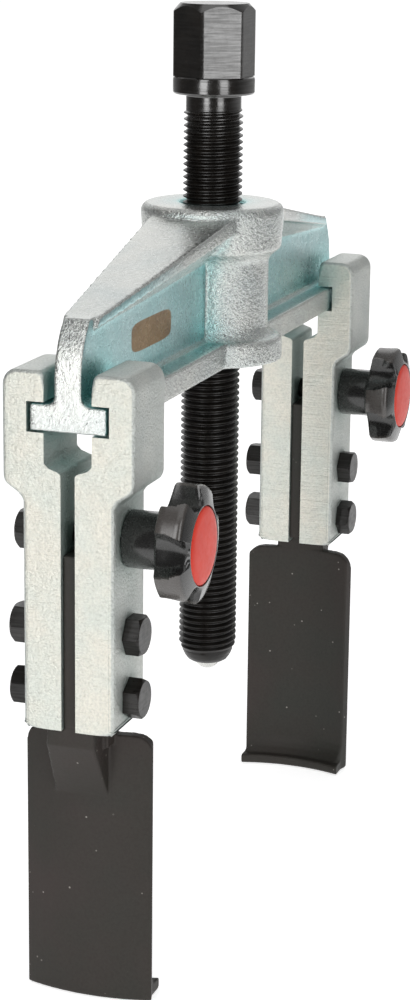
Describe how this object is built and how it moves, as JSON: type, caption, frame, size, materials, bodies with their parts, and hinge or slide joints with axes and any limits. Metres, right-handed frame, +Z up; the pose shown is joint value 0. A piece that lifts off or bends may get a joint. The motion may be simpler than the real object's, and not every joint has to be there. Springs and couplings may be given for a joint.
{
  "type": "gear puller",
  "caption": "Two-arm gear puller: T-rail beam, sliding clamp arms with star knobs, thin curved hooks and a central hex pressure screw.",
  "frame": {"origin": "lowest point of the thrust ball, on the pressure screw's axis", "axes": "+Z up along the pressure screw towards its hexagon, X along the beam, knobs towards -Y"},
  "size_m": [0.185, 0.0444, 0.2135],
  "materials": {
    "forged_zinc": "zinc-plated forging, grainy",
    "plate_zinc": "zinc-plated steel plate, fine grain",
    "black_oxide": "black oxide, semi-gloss",
    "phosphate": "brown-black phosphate, matte",
    "ball_steel": "bright steel",
    "black_plastic": "glossy black plastic",
    "red_plastic": "satin red plastic",
    "insert_brass": "machined brass"
  },
  "bodies": {
    "beam": {"beam": "forged_zinc"},
    "thrust_ball": {"thrust_ball": "ball_steel"},
    "screw": {"pressure_screw": "black_oxide"},
    "left_arm": {"left_front_plate": "plate_zinc", "left_rear_plate": "plate_zinc", "left_hook": "phosphate", "left_clamp_bolt": "black_oxide", "left_upper_bolt": "black_oxide", "left_upper_nut": "black_oxide", "left_lower_bolt": "black_oxide", "left_lower_nut": "black_oxide"},
    "left_washer": {"left_washer": "ball_steel"},
    "left_knob": {"left_knob": "black_plastic", "left_knob_cap": "red_plastic", "left_knob_insert": "insert_brass"},
    "right_arm": {"right_front_plate": "plate_zinc", "right_rear_plate": "plate_zinc", "right_hook": "phosphate", "right_clamp_bolt": "black_oxide", "right_upper_bolt": "black_oxide", "right_upper_nut": "black_oxide", "right_lower_bolt": "black_oxide", "right_lower_nut": "black_oxide"},
    "right_washer": {"right_washer": "ball_steel"},
    "right_knob": {"right_knob": "black_plastic", "right_knob_cap": "red_plastic", "right_knob_insert": "insert_brass"}
  },
  "joints": [
    {"name": "screw_advance", "type": "slide", "parent": "beam", "child": "thrust_ball", "axis": [0, 0, 1], "range_m": [-0.0225, 0.06]},
    {"name": "screw_turn", "type": "hinge", "parent": "thrust_ball", "child": "screw", "pos_m": [0, 0, 0.0032], "axis": [0, 0, 1], "range_deg": [-5402, 14402]},
    {"name": "left_arm_slide", "type": "slide", "parent": "beam", "child": "left_arm", "axis": [1, 0, 0], "range_m": [0, 0.0565]},
    {"name": "right_arm_slide", "type": "slide", "parent": "beam", "child": "right_arm", "axis": [-1, 0, 0], "range_m": [0, 0.0565]},
    {"name": "left_knob_back_off", "type": "slide", "parent": "left_arm", "child": "left_washer", "axis": [0, -1, 0], "range_m": [0, 0.00161]},
    {"name": "left_knob_turn", "type": "hinge", "parent": "left_washer", "child": "left_knob", "pos_m": [-0.0808, -0.018, 0.0549], "axis": [0, -1, 0], "range_deg": [0, 720]},
    {"name": "right_knob_back_off", "type": "slide", "parent": "right_arm", "child": "right_washer", "axis": [0, -1, 0], "range_m": [0, 0.00161]},
    {"name": "right_knob_turn", "type": "hinge", "parent": "right_washer", "child": "right_knob", "pos_m": [0.0808, -0.018, 0.0549], "axis": [0, -1, 0], "range_deg": [0, 720]}
  ],
  "couplings": [
    {"joint": "screw_turn", "follows": "screw_advance", "rad_per_m": 4188.8},
    {"joint": "left_knob_back_off", "follows": "left_knob_turn", "m_per_rad": 0.00012732},
    {"joint": "right_knob_back_off", "follows": "right_knob_turn", "m_per_rad": 0.00012732}
  ]
}
